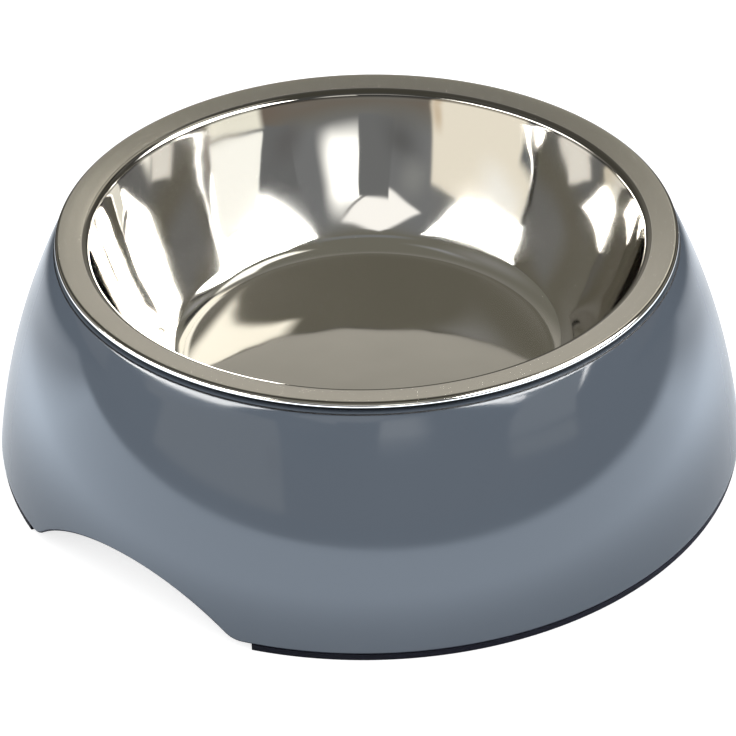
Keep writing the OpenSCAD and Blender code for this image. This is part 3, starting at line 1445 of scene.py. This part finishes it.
    def box_mask(self) -> Effect:
        """Makes the effect that says how much of a light box a direction meets.

        Returns:
            The effect, with the mask as its output.
        """
        effect = Effect(
            "light_box",
            dict.fromkeys(("Azimuth", "Elevation", "Middle", "Level", "Lean", "Slope"), 0.0)
            | dict.fromkeys(("Squeeze", "Width", "Height", "Softness"), 1.0),
            {"Mask": "NodeSocketFloat"},
        )
        wiring = effect.wiring
        given = effect.given
        turn = wiring.math("SUBTRACT", given["Azimuth"], given["Middle"])
        turn = wiring.math("WRAP", turn, HALF_TURN, -HALF_TURN)
        turn = wiring.math("MULTIPLY", turn, given["Squeeze"])
        rise = wiring.math("SUBTRACT", given["Elevation"], given["Level"])
        across = wiring.math("SUBTRACT", turn, wiring.math("MULTIPLY", given["Lean"], rise))
        along = wiring.math("SUBTRACT", rise, wiring.math("MULTIPLY", given["Slope"], turn))
        masks = []
        for distance, size in ((across, given["Width"]), (along, given["Height"])):
            half = wiring.math("DIVIDE", size, 2.0)
            share = wiring.math("DIVIDE", wiring.math("ABSOLUTE", distance), half)
            inside = wiring.math("DIVIDE", wiring.math("SUBTRACT", 1.0, share), given["Softness"])
            masks.append(wiring.scale_range(inside, 0.0, 1.0, 0.0, 1.0))
        wiring.join(wiring.math("MULTIPLY", *masks), effect.result["Mask"])
        return effect

    def directions(self, wiring: Wiring) -> tuple[bpy.types.NodeSocket, bpy.types.NodeSocket]:
        """Gives the direction of each ray, in degrees.

        Args:
            wiring: The world's wiring.

        Returns:
            The azimuth from the camera's side and the elevation.
        """
        ray = wiring.add("ShaderNodeTexCoord").outputs["Generated"]
        right = self.vantage.right()
        aside = wiring.dot(ray, (right.x, right.y, 0))
        ahead = wiring.dot(ray, (right.y, -right.x, 0))
        up = wiring.dot(ray, (0, 0, 1))
        azimuth = wiring.math("DEGREES", wiring.math("ARCTAN2", aside, ahead))
        elevation = wiring.math("DEGREES", wiring.math("ARCSINE", up))
        return azimuth, elevation

    def room(self, wiring: Wiring) -> bpy.types.NodeSocket:
        """Paints the light boxes on the plain room.

        Args:
            wiring: The world's wiring.

        Returns:
            The room's colour in each direction.
        """
        azimuth, elevation = self.directions(wiring)
        height = wiring.scale_range(elevation, self.room_from, self.room_to, 0.0, 1.0)
        room = wiring.blend(height, self.low_room, self.high_room)
        mask = self.box_mask()
        for box in LIGHT_BOXES:
            share = mask.place(
                wiring,
                azimuth=azimuth,
                elevation=elevation,
                middle=box.azimuth,
                level=box.elevation,
                squeeze=math.cos(math.radians(box.elevation)),
                width=box.width,
                height=box.height,
                lean=box.lean,
                slope=box.slope,
                softness=box.softness,
            )["Mask"]
            share.node.label = box.name
            room = wiring.blend(share, room, dimmed(box.colour, box.radiance))
        return room

    def world(self) -> None:
        """Builds the world: white for the camera, plain for diffuse light, a room for the rest."""
        world = bpy.data.worlds.new("studio")
        bpy.context.scene.world = world
        world.use_nodes = True
        tree = world.node_tree
        tree.nodes.clear()
        wiring = Wiring(tree)
        room, backdrop, plain = (
            wiring.shade("ShaderNodeBackground", colour)
            for colour in (self.room(wiring), self.paper, self.plain_light)
        )
        path = wiring.add("ShaderNodeLightPath").outputs
        indirect = wiring.mix_shaders(path["Is Diffuse Ray"], room, plain)
        either = wiring.mix_shaders(path["Is Camera Ray"], indirect, backdrop)
        output = wiring.add("ShaderNodeOutputWorld")
        wiring.join(either, output.inputs["Surface"])
        world.cycles.sampling_method = "NONE"


def place(
    piece: bpy.types.Object,
    body: Body,
    node: str,
    slot: Slot,
    materials: list[bpy.types.Material],
    finish: Optional[Callable[[bpy.types.Object], None]] = None,
) -> None:
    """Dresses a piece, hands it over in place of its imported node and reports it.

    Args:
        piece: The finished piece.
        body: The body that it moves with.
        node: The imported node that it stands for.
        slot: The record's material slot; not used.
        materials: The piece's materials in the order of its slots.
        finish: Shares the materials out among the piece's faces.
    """
    piece.data.materials.clear()
    for material in materials:
        piece.data.materials.append(material)
    if finish:
        finish(piece)
    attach(piece, body.value)
    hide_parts(node)
    triangles = sum(len(face.vertices) - 2 for face in piece.data.polygons)
    LOG.info("%s: %d triangles, in place of %s", piece.name, triangles, node)


def main() -> None:
    """Builds the object, the studio and the camera."""
    logging.basicConfig(level=logging.INFO, format="%(message)s")
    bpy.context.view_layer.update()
    bpy.context.scene.view_settings.view_transform = "Standard"
    vantage = Vantage()
    vantage.set_up()
    studio = Studio(vantage)
    studio.floor()
    studio.world()
    grain = fine_grain()
    steel = PolishedSteel().make(grain)
    melamine = GlossyMelamine().make(grain)
    shaded_underside = UndersideShade().make(grain)
    rubber = StripRubber().make(grain)
    bowl = SteelBowl()
    stand = Stand(bowl)
    place(bowl.build(), Body.BOWL, "steel_bowl", Slot.STEEL, [steel])
    # The second skin is painted shade for the faces that look down
    shell, skins = stand.build(), [melamine, shaded_underside]
    place(shell, Body.STAND, "stand", Slot.SHELL, skins, stand.mark_underside_shade)
    for side, middle in (("front", -QUARTER_TURN), ("back", QUARTER_TURN)):
        strip = NonSlipStrip(f"rubber_strip_{side}", middle, stand)
        place(strip.build(), Body.STAND, f"non_slip_strip_{side}", Slot.RUBBER, [rubber])


if __name__ == "__main__":
    main()
